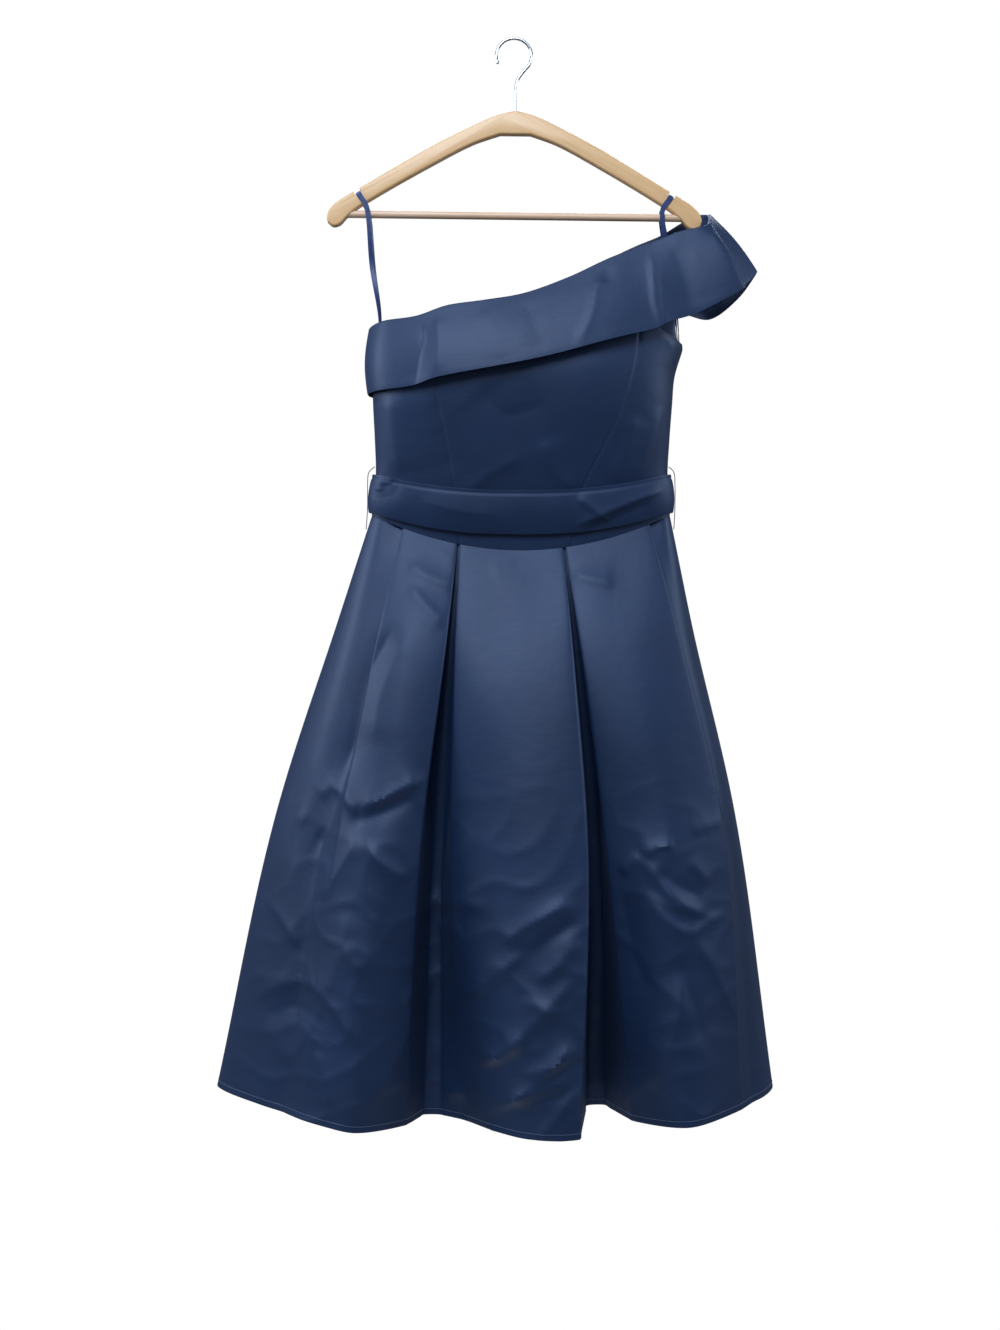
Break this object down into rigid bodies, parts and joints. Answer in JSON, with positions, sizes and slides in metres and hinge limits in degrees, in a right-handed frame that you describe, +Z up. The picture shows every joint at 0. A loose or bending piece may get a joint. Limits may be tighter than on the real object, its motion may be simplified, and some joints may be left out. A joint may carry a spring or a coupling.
{
  "type": "one-shoulder dress on a wooden hanger",
  "caption": "One-shoulder navy satin dress with a folded neckline band, princess-seamed bodice, sash belt and pleated skirt, hung by ribbon loops on a wooden hanger.",
  "frame": {"origin": "top of the inside of the hanger's hook, where a rail bears", "axes": "+Z up, front of the dress faces -Y, the single shoulder (the wearer's left) is at +X"},
  "size_m": [0.6572, 0.3158, 1.2595],
  "materials": {
    "satin": "navy polyester satin, soft sheen",
    "ribbon": "narrow satin ribbon",
    "thread": "twisted sewing thread",
    "zip": "nylon coil on woven tape",
    "beech": "clear lacquered",
    "steel": "bright plated wire"
  },
  "bodies": {
    "root": {"bodice_side_front_bare": "satin", "bodice_centre_front": "satin", "bodice_side_front_shoulder": "satin", "bodice_back_bare_side": "satin", "bodice_back_shoulder_side": "satin", "band_front": "satin", "band_back_bare_side": "satin", "band_back_shoulder_side": "satin", "belt": "satin", "belt_loop_bare_side": "thread", "belt_loop_shoulder_side": "thread", "skirt_front": "satin", "skirt_back_bare_side": "satin", "skirt_back_shoulder_side": "satin", "back_zip": "zip", "zip_slider": "zip", "hanger_loop_bare_side": "ribbon", "hanger_loop_shoulder_side": "ribbon", "hanger_arms": "beech", "hanger_bar": "beech", "hanger_hook": "steel"}
  },
  "joints": []
}
